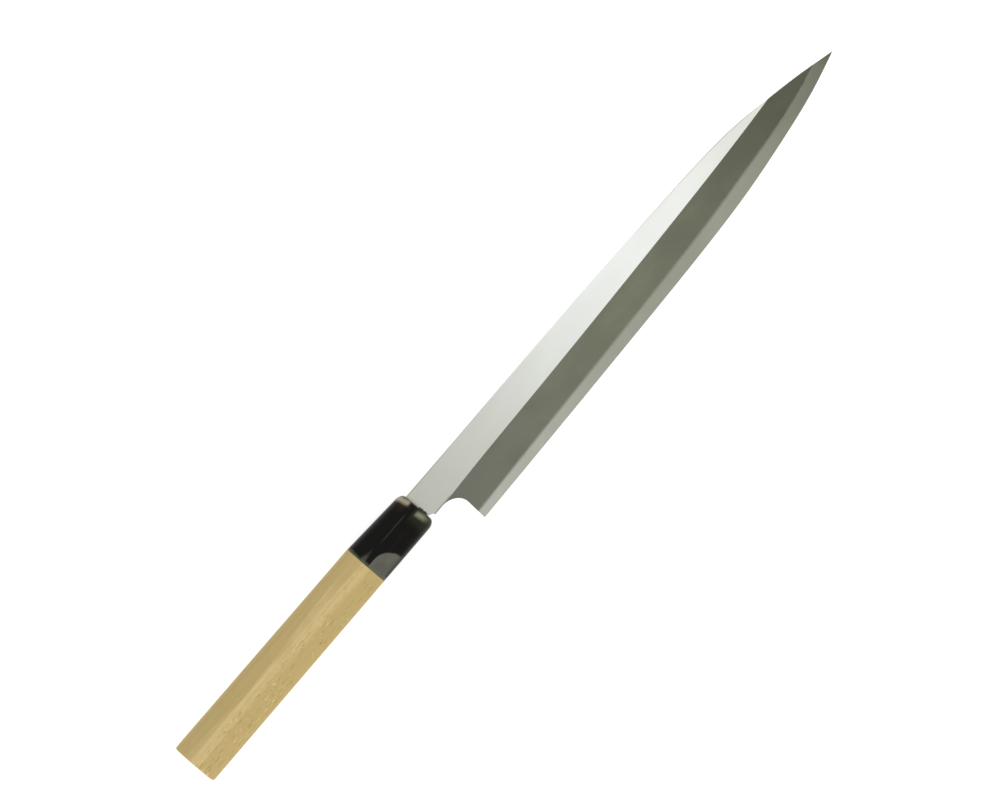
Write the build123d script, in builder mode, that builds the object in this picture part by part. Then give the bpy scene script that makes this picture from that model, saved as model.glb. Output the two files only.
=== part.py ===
from build123d import *
import math
import os

os.makedirs("parts", exist_ok=True)

# A slicing knife lies on its hollow back, with its one ground face up. All sizes are in millimetres.
# +X runs from the handle's butt to the tip, +Y from the cutting edge to the spine, and +Z out of the ground face.
# The origin is under the middle of the whole knife, in the plane that the handle rests on.

# Handle: a long oval of plain wood whose front side rises to a ridge
handle_length = 108.6
butt_height = 20.8
butt_thickness = 18.0
handle_height_taper = 0.6
handle_thickness_taper = 0.5
butt_ridge_rise = 2.4
joint_ridge_rise = 1.8
butt_ridge_round = 2.2
joint_ridge_round = 0.9
butt_round = 0.9

# Ferrule: a horn cap with a bore for the handle's tenon and a slot for the tang
ferrule_length = 32.2
ferrule_height_taper = 1.6
ferrule_thickness_taper = 0.7
front_drop = 0.75
front_ridge_rise = 2.0
front_ridge_round = 0.6
nose_reach = 4.0
nose_roll = 2.5
nose_angles = (0, 25, 50, 70, 90)
ferrule_wall = 2.6
tenon_length = 24.0
tenon_end_gap = 0.3
glue_gap = 0.1
slot_clearance = 0.3

# The section of handle and ferrule: rounds of its two back corners and its two front corners, and the directions in
# which its front flanks reach the ridge, in degrees above level
back_round = 7.0
flank_round = 6.0
spine_flank_slope = 28.0
edge_flank_slope = 18.0

# Blade: plan sizes, with heights measured from the handle's axis
edge_length = 240.0
neck_reach = 14.8
spine_rise = 5.9
heel_drop = 24.4
tip_drop = 7.6
heel_heading = 1.2
tip_heading = 15.5
spine_heading = 13.4
neck_drop = 8.05
notch_reach = 8.3
notch_height = 6.8
heel_lean = 0.55

# Blade: the ground bevel, and the flat side above it, which falls towards the tip and towards the spine
heel_thickness = 4.0
bevel_width = 16.62
edge_land = 0.06
tip_fall = 1.65
spine_fall = 0.2
spine_round = 0.45

# Edge steel: the hard layer welded to the back, and its hollow
steel_thickness = 1.0
steel_overlap = 6.0
hollow_depth = 0.4
edge_rim = 1.2
spine_rim = 1.8

# Tang: the tongue of the soft iron that goes into the handle
tang_length = 95.0
shoulder_reach = 2.4
shoulder_step = 0.7
slant_length = 2.6
slant_rise = 1.4
tang_end_height = 5.6
tang_end_thickness = 2.6
tang_gap = 0.25
tang_end_gap = 3.0

# Overrun of every cut past the material
overrun = 3.0

# The section's size at the joint of wood and horn, and where the ferrule's front begins to roll over
joint_height = butt_height - handle_height_taper
joint_thickness = butt_thickness - handle_thickness_taper
front_height = joint_height - ferrule_height_taper
front_thickness = joint_thickness - ferrule_thickness_taper

# Places along X
overall_length = handle_length + ferrule_length + neck_reach + edge_length
butt_x = -overall_length / 2
joint_x = butt_x + handle_length
front_x = joint_x + ferrule_length
heel_x = front_x + neck_reach
tip_x = heel_x + edge_length
tenon_end_x = joint_x + tenon_length
wall_x = tenon_end_x + tenon_end_gap
tang_end_x = front_x - tang_length
hole_end_x = tang_end_x - tang_end_gap
shoulder_x = front_x + shoulder_reach

# Places along Y and Z: the handle's axis, and the plane of the blade's back
axis_y = (heel_drop - butt_height / 2) / 2
axis_z = butt_thickness / 2
back_z = axis_z - heel_thickness / 2
spine_top_y = axis_y + spine_rise
shoulder_y = axis_y - neck_drop + shoulder_step
root_low_y = shoulder_y + slant_rise
slot_low_y = shoulder_y + slant_rise * shoulder_reach / slant_length

# The flat side's plane: a point at the heel end of the bevel's top line, and a normal that leans to the tip and spine
flat_side_point = Vector(heel_x, axis_y - heel_drop + bevel_width, back_z + heel_thickness)
flat_side_normal = Vector(tip_fall / edge_length, spine_fall / (spine_rise + heel_drop - bevel_width), 1)

# Stations along the edge, as shares of its length from the heel
station_shares = (0.0, 0.2, 0.4, 0.6, 0.73, 0.83, 0.92, 1.0)
# Rise of the edge above the heel's level, as shares of the rise at the tip
edge_rise_shares = (0.0, 0.0575, 0.125, 0.212, 0.332, 0.506, 0.716, 1.0)
# Width of the bevel, as shares of its width at the heel
bevel_shares = (1.0, 1.021, 1.028, 1.038, 0.996, 0.904, 0.811, 0.711)
# The bevel is carried on behind the heel, where its top line runs out into the notch
rear_share = -0.034
rear_bevel_share = 0.986
# Thickness of the welded steel, which the forging leaves a little uneven
steel_shares = (0.92, 1.0, 1.0, 0.98, 1.0, 0.86, 0.84, 0.9)

# The spine, as shares of the edge's length from the heel and of the fall from the heel's spine to the tip
spine_length_shares = (0.2, 0.4, 0.59, 0.73, 0.8, 0.86, 0.93)
spine_fall_shares = (-0.01, -0.006, 0.05, 0.128, 0.246, 0.441, 0.69)

# The hollow in the back: stations, and depths as shares of its full depth
hollow_station_shares = (0.012, 0.06, 0.2, 0.4, 0.6, 0.73, 0.83, 0.9, 0.955)
hollow_depth_shares = (0.12, 0.7, 1.0, 1.0, 0.95, 0.85, 0.65, 0.4, 0.12)


def along(shares, table, share):
    """The value of a table of shares at one share of the edge's length, read along straight lines."""
    pairs = list(zip(shares, table))
    for (start, low), (end, high) in zip(pairs, pairs[1:]):
        if share <= end:
            return low + (high - low) * (share - start) / (end - start)
    return table[-1]


def edge_y(share):
    """The edge's place across the blade."""
    rise = along(station_shares, edge_rise_shares, share) * (heel_drop - tip_drop)
    return axis_y - heel_drop + rise


def spine_y(share):
    """The spine's place across the blade."""
    shares = (0.0,) + spine_length_shares + (1.0,)
    falls = (0.0,) + spine_fall_shares + (1.0,)
    return axis_y + spine_rise - along(shares, falls, share) * (spine_rise + tip_drop)


def side_z(x, y):
    """The height of the flat side, which is a plane through a point at the top of the bevel's heel end."""
    away = Vector(x, y, 0) - flat_side_point
    return flat_side_point.Z - (flat_side_normal.X * away.X + flat_side_normal.Y * away.Y) / flat_side_normal.Z


def tang_section(x, gap):
    """The tang's rectangle at a place along X, wider all round by a gap for the hole that it goes into.

    The tang keeps the neck's size through the ferrule's front wall and tapers from there to its end.
    """
    share = (wall_x - x) / (wall_x - tang_end_x)
    height = (spine_top_y - root_low_y) * (1 - share) + tang_end_height * share
    thickness = heel_thickness * (1 - share) + tang_end_thickness * share
    middle = (spine_top_y + root_low_y) / 2 * (1 - share) + axis_y * share
    with BuildSketch(Plane.YZ.offset(x)) as section:
        with Locations((middle, axis_z)):
            Rectangle(height + 2 * gap, thickness + 2 * gap)
    return section.sketch


def grip_section(x, middle, height, thickness, ridge_rise, ridge_round, roll=0):
    """The handle's section: a well rounded back, and two flat flanks that meet in a soft ridge at the front.

    Where the ferrule's end is rolled over, its rounds get tighter by the roll.
    """
    high = middle + height / 2
    low = middle - height / 2
    ridge = (middle + ridge_rise, axis_z + thickness / 2)
    spine_corner = (high, ridge[1] - (high - ridge[0]) * math.tan(math.radians(spine_flank_slope)))
    edge_corner = (low, ridge[1] - (ridge[0] - low) * math.tan(math.radians(edge_flank_slope)))
    with BuildSketch(Plane.YZ.offset(x)) as section:
        with BuildLine():
            Polyline(
                ridge,
                edge_corner,
                (low, axis_z - thickness / 2),
                (high, axis_z - thickness / 2),
                spine_corner,
                close=True,
            )
        make_face()
        fillet(section.vertices().sort_by(Axis.Y)[4], ridge_round)
        fillet(section.vertices().sort_by(Axis.Y)[2:4], flank_round - roll)
        fillet(section.vertices().sort_by(Axis.Y)[:2], back_round - roll)
    return section.sketch


def tenon_section(x, gap):
    """The oval of the tenon, or of the bore around it."""
    with BuildSketch(Plane.YZ.offset(x)) as section:
        with Locations((axis_y, axis_z)):
            Ellipse(joint_height / 2 - ferrule_wall + gap, joint_thickness / 2 - ferrule_wall + gap)
    return section.sketch


# The blade's plan: spine, tip, heel, the notch under the neck, the shoulder and the start of the tang
spine_points = [
    (heel_x + edge_length * share, axis_y + spine_rise - (spine_rise + tip_drop) * fall)
    for share, fall in zip(spine_length_shares, spine_fall_shares)
]
edge_points = [(heel_x + edge_length * share, edge_y(share)) for share in station_shares[1:-1]]
tip = Vector(tip_x, axis_y - tip_drop)
heel = Vector(heel_x, axis_y - heel_drop)
notch_x = heel_x + heel_lean - notch_reach
notch_y = axis_y - neck_drop - notch_height
level = Vector(1, 0)

# The bevel's rails: the edge, and its top line on the flat side. Each is carried on past the material, the low one
# out under the edge and the high one up over the flat side.
low_rail = []
high_rail = []
for station, width in zip((rear_share,) + station_shares, (rear_bevel_share,) + bevel_shares):
    x = heel_x + station * edge_length
    edge_point = Vector(x, edge_y(station), back_z + edge_land)
    top_y = edge_y(station) + width * bevel_width
    top_point = Vector(x, top_y, side_z(x, top_y))
    reach = (top_point - edge_point) * (overrun / bevel_width)
    low_rail.append(edge_point - reach)
    high_rail.append(top_point + reach)

with BuildPart() as bevel_waste:
    with BuildLine() as low_edge:
        Spline(*low_rail)
    with BuildLine() as high_edge:
        Spline(*high_rail)
    bevel = Face.make_surface_from_curves(low_edge.edge(), high_edge.edge())
    extrude(bevel, amount=heel_thickness + overrun, dir=(0, 0, 1))

with BuildPart() as ground_blade:
    with BuildSketch(Plane.XY.offset(back_z)):
        with BuildLine():
            Line((wall_x, spine_top_y), (heel_x, spine_top_y))
            Spline(
                (heel_x, spine_top_y),
                *spine_points,
                tip,
                tangents=(level, level.rotate(Axis.Z, -spine_heading)),
            )
            Spline(
                heel,
                *edge_points,
                tip,
                tangents=(level.rotate(Axis.Z, heel_heading), level.rotate(Axis.Z, tip_heading)),
            )
            Line(heel, (heel_x + heel_lean, notch_y))
            EllipticalCenterArc((notch_x, notch_y), notch_reach, notch_height, start_angle=0, arc_size=90)
            Polyline(
                (notch_x, axis_y - neck_drop),
                (shoulder_x, axis_y - neck_drop),
                (shoulder_x, shoulder_y),
                (shoulder_x - slant_length, root_low_y),
                (wall_x, root_low_y),
                (wall_x, spine_top_y),
            )
        make_face()
    extrude(amount=heel_thickness + overrun)
    split(bisect_by=Plane(flat_side_point, z_dir=flat_side_normal), keep=Keep.BOTTOM)
    add(bevel_waste.part, mode=Mode.SUBTRACT)
    # The front edge of the spine is eased from the neck to where the bevel runs out
    long_edges = ground_blade.edges().filter_by(lambda edge: edge.length > edge_length / 2)
    fillet(long_edges.sort_by(Axis.Y)[-2:].sort_by(Axis.Z)[-1], spine_round)

# The edge steel: the back layer of the ground blade, hollowed between flat rims
with BuildPart() as steel_layer:
    sections = []
    for station, thick in zip(station_shares, steel_shares):
        x = heel_x + station * edge_length - steel_overlap * (1 - station) + overrun * station
        with BuildSketch(Plane.YZ.offset(x)) as section:
            with Locations((axis_y, back_z)):
                Rectangle(4 * heel_drop, 2 * thick * steel_thickness)
        sections.append(section.sketch)
    loft(sections=sections, ruled=True)

with BuildPart() as back_hollow:
    sections = []
    for station, depth in zip(hollow_station_shares, hollow_depth_shares):
        low_y = edge_y(station) + edge_rim
        high_y = spine_y(station) - spine_rim
        with BuildSketch(Plane.YZ.offset(heel_x + station * edge_length)) as section:
            with BuildLine():
                ThreePointArc(
                    (low_y, back_z), ((low_y + high_y) / 2, back_z + depth * hollow_depth), (high_y, back_z)
                )
                Polyline((high_y, back_z), (high_y, back_z - overrun), (low_y, back_z - overrun), (low_y, back_z))
            make_face()
        sections.append(section.sketch)
    loft(sections=sections)

with BuildPart() as edge_steel:
    add(ground_blade.part)
    add(steel_layer.part, mode=Mode.INTERSECT)
    add(back_hollow.part, mode=Mode.SUBTRACT)

# The soft iron: the rest of the ground blade, and the tang
with BuildPart() as blade_body:
    add(ground_blade.part)
    add(steel_layer.part, mode=Mode.SUBTRACT)
    loft(sections=[tang_section(tang_end_x, 0), tang_section(wall_x, 0)])

# The handle's section where the wood meets the horn
joint_section = grip_section(
    joint_x, axis_y, joint_height, joint_thickness, joint_ridge_rise, joint_ridge_round
)

# The horn ferrule: its front edge is rolled over in a quarter round, by sections that shrink towards the front face
nose_sections = []
for angle in nose_angles:
    turn = math.radians(angle)
    roll = nose_roll * (1 - math.cos(turn))
    nose_sections.append(
        grip_section(
            front_x - nose_reach * (1 - math.sin(turn)),
            axis_y - front_drop,
            front_height - 2 * roll,
            front_thickness - 2 * roll,
            front_ridge_rise,
            front_ridge_round,
            roll,
        )
    )

with BuildPart() as ferrule:
    loft(sections=[joint_section, nose_sections[0]], ruled=True)
    loft(sections=nose_sections)
    loft(sections=[tenon_section(joint_x, glue_gap), tenon_section(wall_x, glue_gap)], mode=Mode.SUBTRACT)
    # The slot for the neck, a little wide all round
    slot_height = spine_top_y - slot_low_y + 2 * slot_clearance
    with BuildSketch(Plane.YZ.offset(front_x + overrun)):
        with Locations(((spine_top_y + slot_low_y) / 2, axis_z)):
            RectangleRounded(slot_height, heel_thickness + 2 * slot_clearance, slot_clearance)
    extrude(amount=wall_x - front_x - overrun, mode=Mode.SUBTRACT)

# The wooden handle with its tenon and the burned-in hole for the tang
butt_section = grip_section(butt_x, axis_y, butt_height, butt_thickness, butt_ridge_rise, butt_ridge_round)

with BuildPart() as handle:
    loft(sections=[butt_section, joint_section], ruled=True)
    fillet(handle.faces().sort_by(Axis.X)[0].outer_wire().edges(), butt_round)
    loft(sections=[tenon_section(joint_x, 0), tenon_section(tenon_end_x, 0)])
    loft(
        sections=[tang_section(hole_end_x, tang_gap), tang_section(tenon_end_x + overrun, tang_gap)],
        mode=Mode.SUBTRACT,
    )

# Each piece is labelled and written by itself
blade_body.part.label = "blade_body"
edge_steel.part.label = "edge_steel"
ferrule.part.label = "ferrule"
handle.part.label = "handle"
export_step(blade_body.part, "parts/blade_body.step")
export_step(edge_steel.part, "parts/edge_steel.step")
export_step(ferrule.part, "parts/ferrule.step")
export_step(handle.part, "parts/handle.step")
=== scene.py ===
"""Looks of a long single-bevel slicing knife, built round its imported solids.

Sizes are in millimetres and turned to metres as a mesh is made. +X runs from the handle's butt to the tip, +Y from the
cutting edge to the spine, and +Z out of the ground face.
"""
import logging
import math
from dataclasses import dataclass, fields
from enum import Enum
from typing import Callable, Sequence, Union

import bmesh
import bpy
import numpy as np
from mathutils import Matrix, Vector
from mathutils.geometry import delaunay_2d_cdt


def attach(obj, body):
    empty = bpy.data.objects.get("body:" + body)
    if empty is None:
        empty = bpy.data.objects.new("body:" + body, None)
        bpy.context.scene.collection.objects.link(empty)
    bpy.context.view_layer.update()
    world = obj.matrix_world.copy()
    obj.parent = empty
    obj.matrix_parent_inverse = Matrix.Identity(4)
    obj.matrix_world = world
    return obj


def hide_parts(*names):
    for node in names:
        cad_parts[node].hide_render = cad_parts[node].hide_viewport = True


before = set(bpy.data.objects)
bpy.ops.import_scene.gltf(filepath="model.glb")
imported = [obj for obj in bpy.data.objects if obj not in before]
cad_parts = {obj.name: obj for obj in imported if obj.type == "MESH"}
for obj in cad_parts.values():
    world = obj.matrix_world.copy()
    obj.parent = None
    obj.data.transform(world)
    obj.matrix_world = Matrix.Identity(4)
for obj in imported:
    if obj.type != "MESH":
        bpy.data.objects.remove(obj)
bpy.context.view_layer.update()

MM = 0.001
SAME_PLACE = 0.001  # points nearer than this, in millimetres, are one
SAME_X = 1e-4  # slack for places along X that are compared, in millimetres
THINNEST = 0.004  # where a blade piece is thinner than this, in millimetres, its top and bottom share a vertex
SHARP_ANGLE = 38.0
WEIGHT_OF_LARGE_FACES = 50
log = logging.getLogger("knife")

Colour = tuple[float, float, float, float]
Point = tuple[float, float, float]
Span = tuple[float, float]
Grain = tuple[float, float, float]


def shade(red: float, green: float, blue: float) -> Colour:
    """A colour as a screen shows it, 0 to 255, in the linear values that a shader takes."""
    parts = []
    for value in (red, green, blue):
        part = value / 255
        parts.append(part / 12.92 if part <= 0.04045 else ((part + 0.055) / 1.055) ** 2.4)
    return (parts[0], parts[1], parts[2], 1.0)


@dataclass(frozen=True)
class Field:
    """A value in a node tree, which the usual signs combine into Math nodes."""

    tree: bpy.types.NodeTree
    socket: bpy.types.NodeSocket

    def math(self, operation: str, *others: "Number") -> "Field":
        """The result of one Math node on this value and others."""
        node = self.tree.nodes.new("ShaderNodeMath")
        node.operation = operation
        for value, place in zip((self, *others), node.inputs):
            plug(value, place)
        return Field(self.tree, node.outputs[0])

    def __add__(self, other: "Number") -> "Field":
        """This value plus another."""
        return self.math("ADD", other)

    def __sub__(self, other: "Number") -> "Field":
        """This value less another."""
        return self.math("SUBTRACT", other)

    def __mul__(self, other: "Number") -> "Field":
        """This value times another."""
        return self.math("MULTIPLY", other)

    def __truediv__(self, other: "Number") -> "Field":
        """This value over another, which is zero where the other is zero."""
        return self.math("DIVIDE", other)

    def less_from(self, whole: float) -> "Field":
        """A whole less this value."""
        return (self * -1.0) + whole

    def held(self) -> "Field":
        """This value kept from 0 to 1."""
        return self.math("MAXIMUM", 0.0).math("MINIMUM", 1.0)

    def toward(self, other: "Field", share: "Field") -> "Field":
        """The value a share of the way from this one to another."""
        return self + (other - self) * share

    def cosine(self) -> "Field":
        """The cosine of this value, in degrees."""
        return self.math("RADIANS").math("COSINE")

    def sine(self) -> "Field":
        """The sine of this value, in degrees."""
        return self.math("RADIANS").math("SINE")

    def step(self, low: float, high: float) -> "Field":
        """A soft step of this value, 0 below low and 1 above high."""
        node = self.tree.nodes.new("ShaderNodeMapRange")
        node.interpolation_type = "SMOOTHSTEP"
        plug(self, node.inputs["Value"])
        node.inputs["From Min"].default_value = low
        node.inputs["From Max"].default_value = high
        return Field(self.tree, node.outputs[0])


Number = Union[float, Field]


def plug(value: Union[Number, Colour], place: bpy.types.NodeSocket) -> None:
    """Links a field to a socket, or sets the socket to a plain value."""
    if isinstance(value, Field):
        value.tree.links.new(value.socket, place)
    else:
        place.default_value = value


class Recipe:
    """A material's node tree, with calls for the nodes that the finishes share. Patterns follow Object coordinates."""

    def __init__(self, name: str, metal: float, level: float = 0.5) -> None:
        """Starts a material.

        Args:
            name: the material's name.
            metal: 1 for a bare metal, 0 for anything else.
            level: the Principled shader's specular level.
        """
        self.material = bpy.data.materials.new(name)
        self.material.use_nodes = True
        self.tree = self.material.node_tree
        self.surface = self.tree.nodes["Principled BSDF"]
        self.surface.inputs["Metallic"].default_value = metal
        self.surface.inputs["Specular IOR Level"].default_value = level
        self.place = Field(self.tree, self.tree.nodes.new("ShaderNodeTexCoord").outputs["Object"])

    def along(self, x: float, y: float, z: float, turn: float = 0.0) -> Field:
        """Object coordinates stretched for a pattern.

        Args:
            x: features to a metre along the knife.
            y: features to a metre across the knife.
            z: features to a metre through its thickness.
            turn: the pattern's turn about Z, in degrees.

        Returns:
            The stretched coordinates.
        """
        turned = self.tree.nodes.new("ShaderNodeMapping")
        plug(self.place, turned.inputs["Vector"])
        turned.inputs["Rotation"].default_value = (0.0, 0.0, math.radians(turn))
        node = self.tree.nodes.new("ShaderNodeMapping")
        plug(Field(self.tree, turned.outputs[0]), node.inputs["Vector"])
        node.inputs["Scale"].default_value = (x, y, z)
        return Field(self.tree, node.outputs[0])

    def noise(self, place: Field, detail: float = 3.0, roughness: float = 0.5, warp: float = 0.0) -> Field:
        """A noise of feature size 1 on stretched coordinates, 0 to 1."""
        node = self.tree.nodes.new("ShaderNodeTexNoise")
        plug(place, node.inputs["Vector"])
        node.inputs["Scale"].default_value = 1.0
        node.inputs["Detail"].default_value = detail
        node.inputs["Roughness"].default_value = roughness
        node.inputs["Distortion"].default_value = warp
        return Field(self.tree, node.outputs[0])

    def parts(self) -> tuple[Field, Field, Field]:
        """The place on the object along X, Y and Z, in millimetres."""
        node = self.tree.nodes.new("ShaderNodeSeparateXYZ")
        plug(self.place, node.inputs[0])
        x, y, z = (Field(self.tree, out) / MM for out in node.outputs)
        return x, y, z

    def mix(self, share: Number, first: Union[Field, Colour], second: Union[Field, Colour]) -> Field:
        """A colour a share of the way from the first to the second."""
        node = self.tree.nodes.new("ShaderNodeMix")
        node.data_type = "RGBA"
        plug(share, node.inputs[0])
        plug(first, node.inputs[6])
        plug(second, node.inputs[7])
        return Field(self.tree, node.outputs[2])

    def over_line(self, line: Sequence[tuple[float, float]]) -> Field:
        """How far a place lies above a line in plan that is given by its points, in millimetres."""
        x, y, _ = self.parts()
        (low_x, low_y), (high_x, high_y) = np.min(line, axis=0), np.max(line, axis=0)
        node = self.tree.nodes.new("ShaderNodeFloatCurve")
        curve = node.mapping.curves[0]
        spots = [((px - low_x) / (high_x - low_x), (py - low_y) / (high_y - low_y)) for px, py in line]
        for spot in spots[1:-1]:
            curve.points.new(*spot)
        curve.points[0].location, curve.points[-1].location = spots[0], spots[-1]
        for point in curve.points:
            point.handle_type = "VECTOR"
        node.mapping.update()
        plug((x - float(low_x)) / float(high_x - low_x), node.inputs["Value"])
        return y - (Field(self.tree, node.outputs[0]) * float(high_y - low_y) + float(low_y))

    def dimmed(self, colour: Union[Field, Colour], share: Field) -> Field:
        """A colour times a share."""
        node = self.tree.nodes.new("ShaderNodeVectorMath")
        node.operation = "SCALE"
        plug(colour, node.inputs[0])
        plug(share, node.inputs["Scale"])
        return Field(self.tree, node.outputs[0])

    def finish(self, colour: Field, roughness: Field, height: Field, depth: float) -> bpy.types.Material:
        """Joins the patterns to the shader.

        Args:
            colour: the base colour.
            roughness: the roughness.
            height: the bump's height, 0 to 1.
            depth: how deep the bump is, in millimetres.

        Returns:
            The finished material.
        """
        bump = self.tree.nodes.new("ShaderNodeBump")
        bump.inputs["Distance"].default_value = depth * MM
        bump.inputs["Strength"].default_value = 1.0
        plug(height, bump.inputs["Height"])
        plug(colour, self.surface.inputs["Base Color"])
        plug(roughness, self.surface.inputs["Roughness"])
        plug(Field(self.tree, bump.outputs[0]), self.surface.inputs["Normal"])
        return self.material


@dataclass(frozen=True)
class Wood:
    """Plain pale magnolia, sanded and unvarnished: fine fibres, slanting bands, short pores and lively flecks.

    Grains are in features to a metre along, across and through the knife. Spans are soft steps in millimetres, along X
    where their name says so and else along Y.
    """

    pale: Colour = shade(209, 185, 129)
    plain: Colour = shade(193, 169, 110)
    brown: Colour = shade(189, 167, 110)
    warm: Colour = shade(199, 168, 108)
    olive: Colour = shade(188, 170, 108)
    pore: Colour = shade(158, 132, 76)
    fleck: Colour = shade(228, 207, 150)
    drift_grain: Grain = (9, 150, 150)
    fibre_grain: Grain = (26, 1500, 1500)
    streak_grain: Grain = (14, 420, 420)
    blot_grain: Grain = (70, 130, 130)
    pore_grain: Grain = (300, 1500, 1500)
    fleck_grain: Grain = (520, 1000, 1000)
    cluster_grain: Grain = (80, 200, 200)
    heart: Span = (-24.0, -34.0)
    rings_to_mm: float = 0.42
    slant_x: float = -198.0
    slant_rise: float = 0.037
    slant_span: Span = (8.2, 9.6)
    upper_drop: float = 2.4
    upper_drop_x_span: Span = (-185.0, -163.0)
    upper_rise: float = 0.06
    upper_span: Span = (11.4, 12.4)
    wedge_x_span: Span = (-111.0, -97.0)
    wedge_span: Span = (8.3, 9.3)
    lower_span: Span = (3.4, 6.0)
    butt_x_span: Span = (-150.0, -110.0)
    lively_low_span: Span = (-3.0, -1.0)
    lively_high_span: Span = (5.5, 8.5)
    roughness: float = 0.5
    bump_depth: float = 0.04

    def bands(self, recipe: Recipe, x: Field, y: Field, drift: Field) -> Field:
        """The colour of the broad bands, which slant over the grip as its grain does."""
        slant = y - (x - self.slant_x) * self.slant_rise + drift * 4.0
        upper = y + x.step(*self.upper_drop_x_span) * self.upper_drop
        rising = (x - self.upper_drop_x_span[1]).math("MAXIMUM", 0.0)
        upper = upper - rising * self.upper_rise + drift * 3.0
        wedge = (x + drift * 24.0).step(*self.wedge_x_span) * (y + drift).step(*self.wedge_span)
        colour = recipe.mix(slant.step(*self.slant_span) * 0.45, self.pale, self.brown)
        colour = recipe.mix(upper.step(*self.upper_span) * 0.8, colour, self.brown)
        colour = recipe.mix(wedge * 0.55, colour, self.brown)
        lower = (y + drift * 5.0).step(*self.lower_span).less_from(1.0)
        return recipe.mix(lower, colour, self.plain)

    def material(self) -> bpy.types.Material:
        """The wood's material."""
        recipe = Recipe("plain wood", 0.0, 0.3)
        x, y, z = recipe.parts()
        drift = recipe.noise(recipe.along(*self.drift_grain), 2.0, 0.5, 0.5) - 0.5
        beside, above = y - self.heart[0], z - self.heart[1]
        ring = (beside * beside + above * above).math("SQRT") * self.rings_to_mm
        ring = ((ring + drift * 0.8) * math.tau).math("SINE")
        fibres = recipe.noise(recipe.along(*self.fibre_grain), 3.0, 0.6)
        streaks = recipe.noise(recipe.along(*self.streak_grain), 2.0, 0.5)
        blots = recipe.noise(recipe.along(*self.blot_grain), 2.0, 0.5)
        pores = recipe.noise(recipe.along(*self.pore_grain), 1.0, 0.4).step(0.6, 0.7)
        flecks = recipe.noise(recipe.along(*self.fleck_grain), 1.5, 0.5, 0.4).step(0.6, 0.74)
        clusters = recipe.noise(recipe.along(*self.cluster_grain), 2.0, 0.5, 0.3).step(0.38, 0.6) * 0.75 + 0.25
        near_butt = x.step(*self.butt_x_span).less_from(1.0) * 0.35 + 0.4
        lively = y.step(*self.lively_low_span) * y.step(*self.lively_high_span).less_from(1.0) * near_butt + 0.2
        layers = (
            (blots.step(0.5, 0.75) * 0.45, self.warm),
            (blots.step(0.25, 0.5).less_from(1.0) * 0.45, self.olive),
            (streaks.step(0.4, 0.75) * 0.35, self.brown),
            (ring.step(0.2, 1.0) * 0.2, self.brown),
            ((fibres - 0.4).held() * 0.6, self.pore),
            (pores * lively * 0.7, self.pore),
            (flecks * lively * clusters, self.fleck),
        )
        colour = self.bands(recipe, x, y, drift)
        for share, shown in layers:
            colour = recipe.mix(share, colour, shown)
        height = fibres * 0.6 + pores.less_from(1.0) * 0.4
        return recipe.finish(colour, fibres * 0.18 + self.roughness, height, self.bump_depth)


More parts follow.
